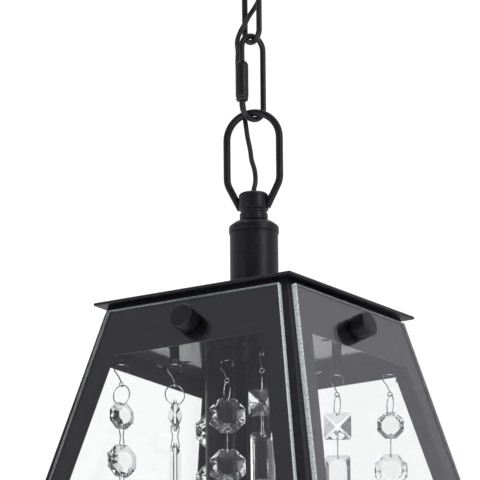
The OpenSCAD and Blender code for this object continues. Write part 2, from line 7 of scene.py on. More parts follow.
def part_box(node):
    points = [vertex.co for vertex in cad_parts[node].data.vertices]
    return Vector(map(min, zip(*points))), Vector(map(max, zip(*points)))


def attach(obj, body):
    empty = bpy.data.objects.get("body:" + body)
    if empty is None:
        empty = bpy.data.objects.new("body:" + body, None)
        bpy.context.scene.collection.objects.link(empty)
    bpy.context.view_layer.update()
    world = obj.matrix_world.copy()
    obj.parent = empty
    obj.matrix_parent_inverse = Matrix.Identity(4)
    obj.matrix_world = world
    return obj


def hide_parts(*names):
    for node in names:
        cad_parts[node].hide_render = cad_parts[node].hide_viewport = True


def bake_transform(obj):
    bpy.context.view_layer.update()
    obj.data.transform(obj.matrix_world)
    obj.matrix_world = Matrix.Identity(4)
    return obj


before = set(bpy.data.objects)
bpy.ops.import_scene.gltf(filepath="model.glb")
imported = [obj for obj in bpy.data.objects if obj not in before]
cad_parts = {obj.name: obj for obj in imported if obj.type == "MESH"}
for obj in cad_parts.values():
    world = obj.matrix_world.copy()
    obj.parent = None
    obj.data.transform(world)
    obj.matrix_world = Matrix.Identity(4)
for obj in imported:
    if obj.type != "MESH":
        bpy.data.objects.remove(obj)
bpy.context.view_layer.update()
world = bpy.context.scene.world or bpy.data.worlds.new("studioAir")
bpy.context.scene.world = world
bpy.context.scene.view_settings.view_transform = "Standard"
print("Lantern: frame loaded")

cameraSettings = {
    "place": (2.6456, -4.0975, -1.5481),
    "azimuth": 32.9626,        # degrees round the lantern
    "elevation": -14.457,     # below the horizon, looking up
    "roll": 0.516,
    "lens": 546.9,
    "sensor": 36.0,
}


def placeCamera(s):
    turn, tilt, roll = (math.radians(s[k]) for k in ("azimuth", "elevation", "roll"))
    forward = Vector((-math.sin(turn) * math.cos(tilt), math.cos(turn) * math.cos(tilt), -math.sin(tilt)))
    right = Vector((math.cos(turn), math.sin(turn), 0))
    up = right.cross(forward)
    across = math.cos(roll) * right - math.sin(roll) * up
    upright = math.sin(roll) * right + math.cos(roll) * up
    lens = bpy.data.cameras.new("lanternCamera")
    lens.lens, lens.sensor_width = s["lens"], s["sensor"]
    lens.clip_start, lens.clip_end = 0.1, 60
    eye = bpy.data.objects.new("lanternCamera", lens)
    bpy.context.scene.collection.objects.link(eye)
    eye.matrix_world = Matrix.Translation(s["place"]) @ Matrix((across, upright, -forward)).transposed().to_4x4()
    bpy.context.scene.camera = eye


placeCamera(cameraSettings)

mm = 0.001


# makes a visible piece, and says what body it rides on and which CAD nodes it stands in for
def pieceFrom(name, verts, faces, materials, body, slotName=None, stands=(), angle=32, tints=None):
    mesh = bpy.data.meshes.new(name)
    mesh.from_pydata([tuple(v) for v in verts], [], faces)
    for m in materials if isinstance(materials, list) else [materials]:
        mesh.materials.append(m)
    if tints:
        mesh.polygons.foreach_set("material_index", tints)
    return finishPiece(name, mesh, body, stands, angle)


def finishPiece(name, mesh, body, stands=(), angle=32):
    b = bmesh.new()
    b.from_mesh(mesh)
    bmesh.ops.remove_doubles(b, verts=b.verts, dist=1e-6)
    bmesh.ops.recalc_face_normals(b, faces=b.faces)
    b.to_mesh(mesh)
    b.free()
    mesh.polygons.foreach_set("use_smooth", [True] * len(mesh.polygons))
    mesh.set_sharp_from_angle(angle=math.radians(angle))
    piece = bpy.data.objects.new(name, mesh)
    bpy.context.scene.collection.objects.link(piece)
    if body:
        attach(piece, body)
    if stands:
        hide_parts(*stands)
    return piece


def softEdges(piece, width, steps=2, angle=30):
    b = piece.modifiers.new("edgeRound", "BEVEL")
    b.width, b.segments, b.limit_method = width, steps, "ANGLE"
    b.angle_limit = math.radians(angle)
    b.harden_normals = True
    return piece


# a curve through all the points
def smoothRoute(points, steps, closed=False):
    p = [Vector(q) for q in points]
    n = len(p)
    out = []
    for i in range(n if closed else n - 1):
        a = p[(i - 1) % n] if closed or i > 0 else p[0]
        b, c = p[i], p[(i + 1) % n]
        d = p[(i + 2) % n] if closed or i + 2 < n else p[-1]
        for k in range(steps):
            t = k / steps
            out.append(0.5 * ((2 * b) + (c - a) * t + (2 * a - 5 * b + 4 * c - d) * t * t
                              + (3 * b - a - 3 * c + d) * t * t * t))
    if not closed:
        out.append(p[-1])
    return out


def carriedFrames(route, closed=False):
    n = len(route)
    ways = []
    for i in range(n):
        a = route[(i - 1) % n] if closed or i > 0 else route[i]
        b = route[(i + 1) % n] if closed or i < n - 1 else route[i]
        ways.append((b - a).normalized())
    side = ways[0].orthogonal().normalized()
    frames = []
    for i in range(n):
        if i:
            side = ways[i - 1].rotation_difference(ways[i]) @ side
        side = (side - side.dot(ways[i]) * ways[i]).normalized()
        frames.append((side.copy(), ways[i].cross(side)))
    return frames


# a round tube along a route
def tubeParts(route, radius, sides, closed=False, frames=None):
    frames = frames or carriedFrames(route, closed)
    n = len(route)
    radii = radius if isinstance(radius, list) else [radius] * n
    verts = []
    for c, (u, v), r in zip(route, frames, radii):
        for s in range(sides):
            a = 2 * math.pi * s / sides
            verts.append(c + r * math.cos(a) * u + r * math.sin(a) * v)
    faces = []
    for i in range(n if closed else n - 1):
        j = (i + 1) % n
        for s in range(sides):
            e = (s + 1) % sides
            faces.append((i * sides + s, i * sides + e, j * sides + e, j * sides + s))
    if not closed:
        faces.append(tuple(range(sides))[::-1])
        faces.append(tuple((n - 1) * sides + s for s in range(sides)))
    return verts, faces


def joined(parts):
    verts, faces = [], []
    for v, f in parts:
        base = len(verts)
        verts += v
        faces += [tuple(base + i for i in one) for one in f]
    return verts, faces


def moved(part, matrix):
    return [matrix @ Vector(v) for v in part[0]], part[1]


# an outline with its corners rounded
def filleted(profile, radius, steps=4, closed=False):
    n = len(profile)
    out = []
    for i, p in enumerate(profile):
        if not closed and i in (0, n - 1):
            out.append(p)
            continue
        p = Vector(p)
        a, b = Vector(profile[i - 1]) - p, Vector(profile[(i + 1) % n]) - p
        r = min(radius, a.length * 0.45, b.length * 0.45)
        s, e = p + a.normalized() * r, p + b.normalized() * r
        for k in range(steps + 1):
            t = k / steps
            out.append(tuple((1 - t) * (1 - t) * s + 2 * t * (1 - t) * p + t * t * e))
    return out


# a profile of radius and height, turned round the Z axis
def lathe(profile, segments, closed=False, ripple=None):
    verts, rings = [], []
    for k, (r, z) in enumerate(profile):
        if r < 1e-7 and not closed:
            rings.append([len(verts)])
            verts.append(Vector((0, 0, z)))
            continue
        rings.append(list(range(len(verts), len(verts) + segments)))
        for s in range(segments):
            a = 2 * math.pi * s / segments
            q = r + (ripple(k, a) if ripple else 0)
            verts.append(Vector((q * math.cos(a), q * math.sin(a), z)))
    faces = []
    pairs = list(zip(rings, rings[1:] + rings[:1])) if closed else list(zip(rings, rings[1:]))
    for a, b in pairs:
        for s in range(segments):
            e = (s + 1) % segments
            if len(a) == 1 and len(b) == 1:
                continue
            if len(a) == 1:
                faces.append((a[0], b[s], b[e]))
            elif len(b) == 1:
                faces.append((a[s], b[0], a[e]))
            else:
                faces.append((a[s], b[s], b[e], a[e]))
    return verts, faces


def turnZ(degrees):
    return Matrix.Rotation(math.radians(degrees), 4, "Z")


cordSettings = {
    "diameter": 0.0034,
    "sides": 14,
    "steps": 5,
    "points": [
        (0, 0, -262), (0, 0, -256), (0.9, 1.1, -249), (0.2, 1.4, -241), (-2, 1, -233), (-3.5, 1.5, -225),
        (-5.5, 1.5, -216), (-7, 2, -208), (-8.5, 2.5, -200), (-9, 1.5, -191), (-9.5, -1.5, -182),
        (-8.5, -4, -174), (-9, -5, -165), (-8, -6, -156), (-7.3, -7.9, -149), (-5, -7.3, -142),
        (-2.5, -5, -136), (-1, -2, -130), (1, 1.5, -124), (3, 4, -118), (4.5, 5, -111), (5.5, 5, -103),
        (6.5, 4.5, -94), (7, 3.5, -85), (6.5, 3, -76), (6, 2.5, -67), (6, 2.5, -58), (5.7, 2, -50),
        (3.6, 1.4, -44), (1, 0.5, -39), (0, 0, -34), (0, 0, -28)],
    # first and last point, the two bodies, and the heights that it bends between
    "lengths": [
        (0, 5, "lantern", "loop", -256, -236),
        (5, 9, "loop", "quick_link", -222, -196),
        (9, 15, "quick_link", "lower_link", -172, -146),
        (15, 22, "lower_link", "upper_link", -128, -98),
        (22, 31, "upper_link", "ceiling", -70, -44)],
}


def finish(name, colour, rough, metallic=0.0, **sockets):
    m = bpy.data.materials.new(name)
    m.use_nodes = True
    shader = m.node_tree.nodes["Principled BSDF"]
    shader.inputs["Base Color"].default_value = (*colour, 1)
    shader.inputs["Roughness"].default_value = rough
    shader.inputs["Metallic"].default_value = metallic
    for key, value in sockets.items():
        shader.inputs[key.replace("_", " ")].default_value = value
    return m


def node(m, kind, **inputs):
    n = m.node_tree.nodes.new(kind)
    for key, value in inputs.items():
        n.inputs[key.replace("_", " ")].default_value = value
    return n


def grain(m, scale, detail=3.0, stretch=(1, 1, 1)):
    place = node(m, "ShaderNodeTexCoord")
    spread = node(m, "ShaderNodeMapping", Scale=stretch)
    n = node(m, "ShaderNodeTexNoise", Scale=scale, Detail=detail, Roughness=0.6)
    m.node_tree.links.new(place.outputs["Object"], spread.inputs["Vector"])
    m.node_tree.links.new(spread.outputs["Vector"], n.inputs["Vector"])
    return n.outputs["Fac"]


# varies one value of a finish from low to high with a noise
def toned(m, fac, socket, low, high, start=0.35, end=0.65):
    shader = m.node_tree.nodes["Principled BSDF"]
    if isinstance(low, tuple):
        ramp = node(m, "ShaderNodeValToRGB")
        ramp.color_ramp.elements[0].position, ramp.color_ramp.elements[1].position = start, end
        ramp.color_ramp.elements[0].color, ramp.color_ramp.elements[1].color = (*low, 1), (*high, 1)
        m.node_tree.links.new(fac, ramp.inputs["Fac"])
        m.node_tree.links.new(ramp.outputs["Color"], shader.inputs[socket])
        return
    span = node(m, "ShaderNodeMapRange")
    for key, value in (("From Min", start), ("From Max", end), ("To Min", low), ("To Max", high)):
        span.inputs[key].default_value = value
    m.node_tree.links.new(fac, span.inputs["Value"])
    m.node_tree.links.new(span.outputs["Result"], shader.inputs[socket])


def roughened(m, fac, strength, distance):
    shader = m.node_tree.nodes["Principled BSDF"]
    b = node(m, "ShaderNodeBump", Strength=strength, Distance=distance)
    m.node_tree.links.new(fac, b.inputs["Height"])
    m.node_tree.links.new(b.outputs["Normal"], shader.inputs["Normal"])


finishSettings = {
    "satinRough": (0.34, 0.44),
    "satinColour": ((0.0050, 0.0048, 0.0072), (0.0085, 0.0082, 0.0112)),
    "panRough": (0.07, 0.12),
    "chromeRough": (0.06, 0.16),
    "glassIndex": 1.5,
    "crystalIndex": 1.62,
}


def makeFinishes(s):
    f = {}
    m = f["satinBlack"] = finish("satinBlack", (0.01, 0.01, 0.012), 0.35, Specular_IOR_Level=0.4)
    toned(m, grain(m, 90), "Base Color", *s["satinColour"])
    toned(m, grain(m, 260), "Roughness", *s["satinRough"])
    roughened(m, grain(m, 1500, 2.0), 0.16, 0.0001)
    m = f["castBlack"] = finish("castBlack", (0.01, 0.01, 0.012), 0.4)
    toned(m, grain(m, 120), "Base Color", (0.006, 0.006, 0.0075), (0.011, 0.011, 0.0125))
    toned(m, grain(m, 400), "Roughness", 0.30, 0.44)
    roughened(m, grain(m, 900, 4.0), 0.22, 0.00015)
    m = f["glossBlack"] = finish("glossBlack", (0.008, 0.008, 0.009), 0.08, Specular_IOR_Level=0.9)
    toned(m, grain(m, 40), "Roughness", *s["panRough"])
    roughened(m, grain(m, 60, 1.0), 0.03, 0.0004)
    m = f["zincSteel"] = finish("zincSteel", (0.6, 0.61, 0.63), 0.32, 1.0)
    toned(m, grain(m, 70), "Base Color", (0.52, 0.53, 0.56), (0.68, 0.68, 0.69))
    toned(m, grain(m, 500, 3.0, (1, 1, 0.1)), "Roughness", 0.22, 0.42)
    m = f["paneGlass"] = finish("paneGlass", (0.985, 0.995, 0.99), 0.0, Transmission_Weight=1.0, IOR=s["glassIndex"])
    toned(m, grain(m, 25), "Roughness", 0.0, 0.012, 0.6, 0.8)
    m = f["groundEdge"] = finish("groundEdge", (0.85, 0.90, 0.90), 0.3, Transmission_Weight=0.4, IOR=s["glassIndex"])
    toned(m, grain(m, 700, 4.0), "Base Color", (0.62, 0.70, 0.70), (0.97, 1.0, 0.99))
    toned(m, grain(m, 900, 4.0), "Roughness", 0.12, 0.5)
    roughened(m, grain(m, 1400, 5.0), 0.7, 0.0004)
    m = f["crystal"] = finish("crystal", (1.0, 1.0, 1.0), 0.0, Transmission_Weight=1.0, IOR=s["crystalIndex"])
    toned(m, grain(m, 300), "Roughness", 0.0, 0.01, 0.6, 0.8)
    m = f["chromeWire"] = finish("chromeWire", (0.78, 0.79, 0.81), 0.1, 1.0)
    toned(m, grain(m, 600), "Roughness", *s["chromeRough"])
    toned(m, grain(m, 200), "Base Color", (0.66, 0.67, 0.69), (0.84, 0.85, 0.87))
    m = f["bulbGlass"] = finish("bulbGlass", (1.0, 0.995, 0.98), 0.0, Transmission_Weight=1.0, IOR=1.47)
    toned(m, grain(m, 60), "Roughness", 0.0, 0.02, 0.6, 0.8)
    m = f["glowStick"] = finish("glowStick", (0.86, 0.62, 0.20), 0.6)
    toned(m, grain(m, 900), "Base Color", (0.80, 0.52, 0.12), (0.92, 0.72, 0.30))
    m = f["nickelBase"] = finish("nickelBase", (0.72, 0.70, 0.66), 0.25, 1.0)
    toned(m, grain(m, 300), "Roughness", 0.18, 0.36)
    m = f["phenolic"] = finish("phenolic", (0.72, 0.68, 0.58), 0.5)
    toned(m, grain(m, 150), "Base Color", (0.66, 0.62, 0.52), (0.78, 0.74, 0.65))
    roughened(m, grain(m, 1200, 2.0), 0.1, 0.0001)
    m = f["cordJacket"] = finish("cordJacket", (0.012, 0.012, 0.013), 0.45)
    toned(m, grain(m, 150), "Base Color", (0.010, 0.010, 0.011), (0.020, 0.020, 0.021))
    toned(m, grain(m, 700), "Roughness", 0.36, 0.52)
    roughened(m, grain(m, 1300, 2.0), 0.12, 0.0001)
    m = f["palePaper"] = finish("palePaper", (0.86, 0.86, 0.86), 0.8)
    toned(m, grain(m, 2), "Base Color", (0.84, 0.84, 0.84), (0.88, 0.88, 0.88))
    return f


finishes = makeFinishes(finishSettings)
print("Lantern: finishes mixed")


def makeCord(s):
    route = smoothRoute([Vector(p) * mm for p in s["points"]], s["steps"])
    frames = carriedFrames(route)
    total = 0
    for i, (first, last, low, high, start, end) in enumerate(s["lengths"], 1):
        span = slice(first * s["steps"], last * s["steps"] + 1)
        path = route[span]
        length = sum((b - a).length for a, b in zip(path, path[1:]))
        total += length
        piece = pieceFrom(f"supplyCord_{i}", *tubeParts(path, s["diameter"] / 2, s["sides"], frames=frames[span]),
                          finishes["cordJacket"], None, "cord_jacket", ("supply_cord",))
        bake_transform(piece)
    print(f"Lantern: cord {total:.3f} m")


makeCord(cordSettings)

def centreHeights(nodeName, wire):
    low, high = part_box(nodeName)
    return low.z + wire / 2, high.z - wire / 2


# the centreline of a long link between two heights
def stadium(low, high, half, steps=14):
    path = []
    for k in range(steps + 1):
        a = math.pi * k / steps
        path.append(Vector((half * math.cos(a), 0, high - half + half * math.sin(a))))
    for k in range(1, 9):
        path.append(Vector((-half, 0, (high - half) + (low - high + 2 * half) * k / 9)))
    for k in range(steps + 1):
        a = math.pi + math.pi * k / steps
        path.append(Vector((half * math.cos(a), 0, low + half + half * math.sin(a))))
    for k in range(1, 9):
        path.append(Vector((half, 0, (low + half) + (high - low - 2 * half) * k / 9)))
    return path


chainSettings = {"wire": 0.004, "width": 0.020, "sides": 20, "weldSwell": 0.00018, "upperTurn": 71, "lowerTurn": -19}


def makeLink(name, body, turn, s):
    low, high = centreHeights(name, s["wire"])
    half = (s["width"] - s["wire"]) / 2
    path = stadium(low, high, half)
    middle = (low + high) / 2
    radii = [s["wire"] / 2 + (s["weldSwell"] * math.exp(-((p.z - middle) / 0.0016) ** 2) if p.x < -half * 0.9 else 0)
             for p in path]
    pieceFrom(name + "_forged", *moved(tubeParts(path, radii, s["sides"], closed=True), turnZ(turn)),
              finishes["castBlack"], body, "black_satin", (name,), 60)


makeLink("chain_link_upper", "upper_link", chainSettings["upperTurn"], chainSettings)
makeLink("chain_link_lower", "lower_link", chainSettings["lowerTurn"], chainSettings)

quickSettings = {"wire": 0.004, "width": 0.0226, "turn": 71, "sides": 24, "gap": 0.009}


def makeQuickLink(s):
    low, high = centreHeights("quick_link", s["wire"])
    half = (s["width"] - s["wire"]) / 2
    nutLow, nutHigh = (v.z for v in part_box("quick_link_nut"))
    gapMiddle = (nutLow + nutHigh) / 2
    path = [p for p in stadium(low, high, half) if not (p.x < -half * 0.99 and abs(p.z - gapMiddle) < s["gap"] / 2)]
    cut = next(i for i in range(len(path)) if path[i].x < -half * 0.99 and path[i].z < gapMiddle)
    path = path[cut:] + path[:cut]
    path = ([Vector((-half, 0, gapMiddle - s["gap"] / 2))] + path + [Vector((-half, 0, gapMiddle + s["gap"] / 2))])
    pieceFrom("quickLink", *moved(tubeParts(path, s["wire"] / 2, s["sides"]), turnZ(s["turn"])),
              finishes["castBlack"], "quick_link", "black_satin", ("quick_link",), 60)
    r = 0.0045
    outline = filleted([(0.0, nutHigh), (r * 0.62, nutHigh), (r, nutHigh - 0.0024), (r, nutLow + 0.0034),
                        (r * 0.9, nutLow + 0.0028), (r * 0.9, nutLow + 0.0022), (r * 0.96, nutLow + 0.0018),
                        (r * 0.84, nutLow), (0.0, nutLow)], 0.0012)
    part = moved(lathe(outline, 48), turnZ(s["turn"]) @ Matrix.Translation((-half, 0, 0)))
    pieceFrom("quickLinkNut", *part, finishes["castBlack"], "link_nut", "black_satin", ("quick_link_nut",))


makeQuickLink(quickSettings)

loopSettings = {"wire": 0.005, "width": 0.043, "turn": 16, "sides": 24, "bendRadius": 0.016, "bendAngle": 27,
                "bendHeight": 0.0205, "flat": 0.01055, "pin": 0.0036}


def makeTopLoop(s, pinZ):
    half = (s["width"] - s["wire"]) / 2
    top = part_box("top_loop")[1].z - s["wire"] / 2
    bendZ = pinZ + s["bendHeight"]
    side = []
    for k in range(9):
        a = math.radians(s["bendAngle"]) * k / 8
        side.append(Vector((half - s["bendRadius"] * (1 - math.cos(a)), 0, bendZ - s["bendRadius"] * math.sin(a))))
    end = side[-1]
    fall = Vector((-math.sin(math.radians(s["bendAngle"])), 0, -math.cos(math.radians(s["bendAngle"]))))
    reach = (end.z - pinZ + 0.002) / -fall.z
    side += [end + fall * reach * t for t in (0.3, 0.6, 0.85, 1.0)]
    arch = [Vector((half * math.cos(math.pi * k / 24), 0, top - half + half * math.sin(math.pi * k / 24)))
            for k in range(25)]
    right = side[::-1] + [Vector((half, 0, bendZ + (top - half - bendZ) * t)) for t in (0.33, 0.66)]
    left = [Vector((-p.x, 0, p.z)) for p in right[::-1]]
    verts, faces = tubeParts(right + arch + left, s["wire"] / 2, s["sides"])
    for v in verts:
        if v.z < pinZ + 0.012:
            v.x = math.copysign(max(abs(v.x), s["flat"]), v.x)
    parts = [(verts, faces)]
    for sign in (-1, 1):
        pin = lathe([(0, 0.0058), (s["pin"] / 2, 0.0058), (s["pin"] / 2, 0.0112), (0, 0.0112)], 20)
        parts.append(moved(pin, Matrix.Translation((0, 0, pinZ)) @ Matrix.Rotation(sign * math.pi / 2, 4, "Y")))
    part = joined(parts)
    pieceFrom("topLoop", *moved(part, turnZ(s["turn"])), finishes["satinBlack"], "loop", "black_satin",
              ("top_loop",), 45)


hubLow, hubTop = (v.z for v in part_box("loop_hub"))
pinHeight = hubTop - 0.0085
makeTopLoop(loopSettings, pinHeight)
print("Lantern: chain linked")

stemSettings = {"sides": 96, "capLip": 0.0006, "groove": 0.0007}


def makeStem(s):
    low, high = (v.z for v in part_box("stem_tube"))
    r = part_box("stem_tube")[1].x
    tube = filleted([(r - 0.0015, low), (r, low), (r, high), (r - 0.0015, high)], 0.0003, 3, closed=True)
    pieceFrom("stemTube", *lathe(tube, s["sides"], closed=True), finishes["satinBlack"], "lantern", "black_satin",
              ("stem_tube",))
    low, high = high, hubLow
    capTop = high
    lip = r + s["capLip"]
    outline = filleted([(r - 0.006, low - 0.003), (r - 0.0017, low - 0.003), (r - 0.0017, low), (lip, low),
                        (lip, low + 0.0042), (lip - 0.0004, low + 0.0052), (r - 0.0034, capTop),
                        (r - 0.006, capTop)], 0.0006, 4, closed=True)
    boredOutline = [(0.0052, low - 0.003)] + outline[1:-1] + [(0.0052, capTop)]
    pieceFrom("stemCap", *lathe(boredOutline, s["sides"], closed=True), finishes["satinBlack"], "lantern",
              "black_satin", ("stem_cap",))
    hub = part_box("loop_hub")[1].x
    neck = hub - 0.0005
    g = hubLow + 0.007
    outline = filleted([(0.0018, hubLow), (neck - 0.0012, hubLow), (neck, hubLow + 0.0016), (neck, g - 0.001),
                        (neck - s["groove"], g), (neck - s["groove"], g + 0.0014), (hub, g + 0.002),
                        (hub, hubTop - 0.0014), (hub - 0.0014, hubTop), (0.0018, hubTop)], 0.0004, 3, closed=True)
    pieceFrom("loopHub", *lathe(outline, s["sides"], closed=True), finishes["satinBlack"], "lantern",
              "black_satin", ("loop_hub",))


makeStem(stemSettings)

shadeSettings = {
    "topWidth": 0.1456, "bottomWidth": 0.290, "sheet": 0.0012, "band": 0.039, "strip": 0.0224, "rail": 0.024,
    "lip": 0.009, "paneThick": 0.004, "paneGap": 0.0002, "edgeRound": 0.00035, "height": 0.286,
}
roofLow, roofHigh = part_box("roof_plate")
frameTop = roofLow.z
frameBottom = frameTop - shadeSettings["height"]
flare = (shadeSettings["bottomWidth"] - shadeSettings["topWidth"]) / 2 / (frameTop - frameBottom)
lean = math.atan(flare)


def halfAt(z):
    return shadeSettings["topWidth"] / 2 + flare * (frameTop - z)


def makeRoof():
    h, t = roofHigh.x, roofHigh.z
    rim = [(-h, -h), (h, -h), (h, h), (-h, h)]
    soft = filleted(rim, 0.0007, 3, closed=True)
    n = len(soft)
    verts, faces = [], []
    for inset, z in ((0.00035, frameTop), (0, frameTop + 0.00035), (0, t - 0.00035), (0.00035, t)):
        k = (h - inset) / h
        verts += [Vector((x * k, y * k, z)) for x, y in soft]
    for ring in range(3):
        for i in range(n):
            j = (i + 1) % n
            faces.append((ring * n + i, ring * n + j, (ring + 1) * n + j, (ring + 1) * n + i))
    faces += [tuple(range(n))[::-1], tuple(range(3 * n, 4 * n))]
    pieceFrom("roofPlate", verts, faces, finishes["satinBlack"], "lantern", "black_satin", ("roof_plate",), 50)


def makeFrame(s):
    off = s["sheet"] / math.cos(lean)
    winTop, winLow = frameTop - s["band"], frameBottom + s["rail"]
    verts, faces = [], []
    for depth in (0, off):
        for i in range(4):
            turn = turnZ(90 * i)
            for z, half in ((frameTop, halfAt(frameTop) - depth), (frameBottom, halfAt(frameBottom) - depth),
                            (winTop, halfAt(winTop) - s["strip"]), (winLow, halfAt(winLow) - s["strip"])):
                for sign in (-1, 1):
                    verts.append(turn @ Vector((halfAt(z) - depth, sign * half, z)))
    def at(layer, face, row, sign):
        return layer * 32 + face * 8 + row * 2 + sign
    for i in range(4):
        for layer in (0, 1):
            ring = [(at(layer, i, 0, 0), at(layer, i, 0, 1), at(layer, i, 2, 1), at(layer, i, 2, 0)),
                    (at(layer, i, 1, 1), at(layer, i, 1, 0), at(layer, i, 3, 0), at(layer, i, 3, 1)),
                    (at(layer, i, 0, 1), at(layer, i, 1, 1), at(layer, i, 3, 1), at(layer, i, 2, 1)),
                    (at(layer, i, 1, 0), at(layer, i, 0, 0), at(layer, i, 2, 0), at(layer, i, 3, 0))]
            faces += ring if layer == 0 else [f[::-1] for f in ring]
        for a, b in (((2, 0), (2, 1)), ((2, 1), (3, 1)), ((3, 1), (3, 0)), ((3, 0), (2, 0)), ((0, 1), (0, 0)),
                     ((1, 0), (1, 1))):
            faces.append((at(0, i, *a), at(0, i, *b), at(1, i, *b), at(1, i, *a)))
    shade = pieceFrom("shadeSheet", verts, faces, finishes["satinBlack"], "lantern", "black_satin",
                      ("frame_shell",), 50)
    softEdges(shade, s["edgeRound"], 3)
    slotOff = (s["paneThick"] + 2 * s["paneGap"]) / math.cos(lean)
    bottom = frameBottom
    profile = [(-off, bottom - s["sheet"]), (slotOff + off, bottom - s["sheet"]), (slotOff + off, bottom + s["lip"]),
               (slotOff, bottom + s["lip"]), (slotOff, bottom), (-off, bottom)]
    n = len(profile)
    verts, faces = [], []
    for sx, sy in ((1, 1), (-1, 1), (-1, -1), (1, -1)):
        for out, z in profile:
            h = halfAt(z) + out
            verts.append(Vector((sx * h, sy * h, z)))
    for c in range(4):
        d = (c + 1) % 4
        for k in range(n):
            m = (k + 1) % n
            faces.append((c * n + k, c * n + m, d * n + m, d * n + k))
    tray = pieceFrom("paneTray", verts, faces, finishes["satinBlack"], "lantern", "black_satin", ("frame_shell",), 50)
    softEdges(tray, s["edgeRound"], 3)


makeRoof()
makeFrame(shadeSettings)
print("Lantern: shade folded")

paneSettings = {"inset": 0.0046, "insetLow": 0.009, "drop": 0.00525, "arris": 0.00045, "hole": 0.008, "knobDrop": 0.026,
                "names": ("right", "back", "left", "front"), "knobWidth": 0.0175, "knobLength": 0.011,
                "holeSides": 40}


# onto one face of the shade: X along it, Y up its slope, Z outwards
def onFace(i):
    lay = Matrix(((0, 0, 1), (1, 0, 0), (0, 1, 0))).to_4x4()
    return (turnZ(90 * i) @ Matrix.Translation((shadeSettings["topWidth"] / 2, 0, frameTop))
            @ Matrix.Rotation(-lean, 4, "Y") @ lay)


knobY = -(paneSettings["knobDrop"] - (roofHigh.z - roofLow.z)) / math.cos(lean)
knobLow = shadeSettings["paneThick"] + 2 * shadeSettings["paneGap"]


def makePane(i, name, s):
    t, gap = shadeSettings["paneThick"], shadeSettings["paneGap"]
    topY = -s["drop"] / math.cos(lean)
    lowY = -(shadeSettings["height"] - gap) / math.cos(lean) + t * math.tan(lean)
    topHalf = halfAt(frameTop - s["drop"]) - s["inset"]
    lowHalf = halfAt(frameBottom + gap) - s["insetLow"]
    corners = [Vector((-lowHalf, lowY)), Vector((lowHalf, lowY)), Vector((topHalf, topY)), Vector((-topHalf, topY))]
    middle = Vector((0, (topY + lowY) / 2))
    rings, b = [], bmesh.new()
    for inset, z in ((s["arris"], 0), (0, s["arris"]), (0, t - s["arris"]), (s["arris"], t)):
        ring = []
        for c in corners:
            x = c.x - math.copysign(inset, c.x)
            y = c.y - math.copysign(inset, c.y - middle.y)
            ring.append(b.verts.new((x, y, z + gap)))
        rings.append(ring)
    holes = []
    for z in (0, t):
        holes.append([b.verts.new((s["hole"] / 2 * math.cos(2 * math.pi * k / s["holeSides"]),
                                   knobY + s["hole"] / 2 * math.sin(2 * math.pi * k / s["holeSides"]), z + gap))
                      for k in range(s["holeSides"])])
    for low, high in zip(rings, rings[1:]):
        for k in range(4):
            b.faces.new((low[k], low[(k + 1) % 4], high[(k + 1) % 4], high[k])).material_index = 1
    for k in range(s["holeSides"]):
        n = (k + 1) % s["holeSides"]
        b.faces.new((holes[0][k], holes[0][n], holes[1][n], holes[1][k])).material_index = 1
    for ring, hole in ((rings[0], holes[0]), (rings[3], holes[1])):
        edges = [b.edges.get((ring[k], ring[(k + 1) % 4])) for k in range(4)]
        edges += [b.edges.get((hole[k], hole[(k + 1) % s["holeSides"]])) for k in range(s["holeSides"])]
        bmesh.ops.triangle_fill(b, edges=edges, use_beauty=True, normal=(0, 0, 1))
    mesh = bpy.data.meshes.new("pane_" + name)
    b.to_mesh(mesh)
    b.free()
    mesh.transform(onFace(i))
    mesh.materials.append(finishes["paneGlass"])
    mesh.materials.append(finishes["groundEdge"])
    finishPiece("glassPane_" + name, mesh, "lantern", ("pane_" + name,), 20)


def makeKnob(i, name, s):
    r, l = s["knobWidth"] / 2, s["knobLength"]
    outline = filleted([(0.0026, 0), (r - 0.0004, 0), (r, 0.0004), (r, l - 0.0007), (r - 0.0007, l), (0, l)],
                       0.0003, 3)
    inner = [(0, l - 0.004), (0.0026, l - 0.004)]
    part = moved(lathe(inner + outline, 64), onFace(i) @ Matrix.Translation((0, knobY, knobLow)))
    pieceFrom("paneKnob_" + name, *part, finishes["satinBlack"], name + "_knob", "black_satin", ("knob_" + name,))


for i, name in enumerate(paneSettings["names"]):
    makePane(i, name, paneSettings)
    makeKnob(i, name, paneSettings)
print("Lantern: panes and knobs fitted")

bulbSettings = {"width": 0.026, "length": 0.072, "glass": 0.0007, "base": 0.0118,
                "threadPitch": 0.0026, "place": 0.017, "sticks": 4}


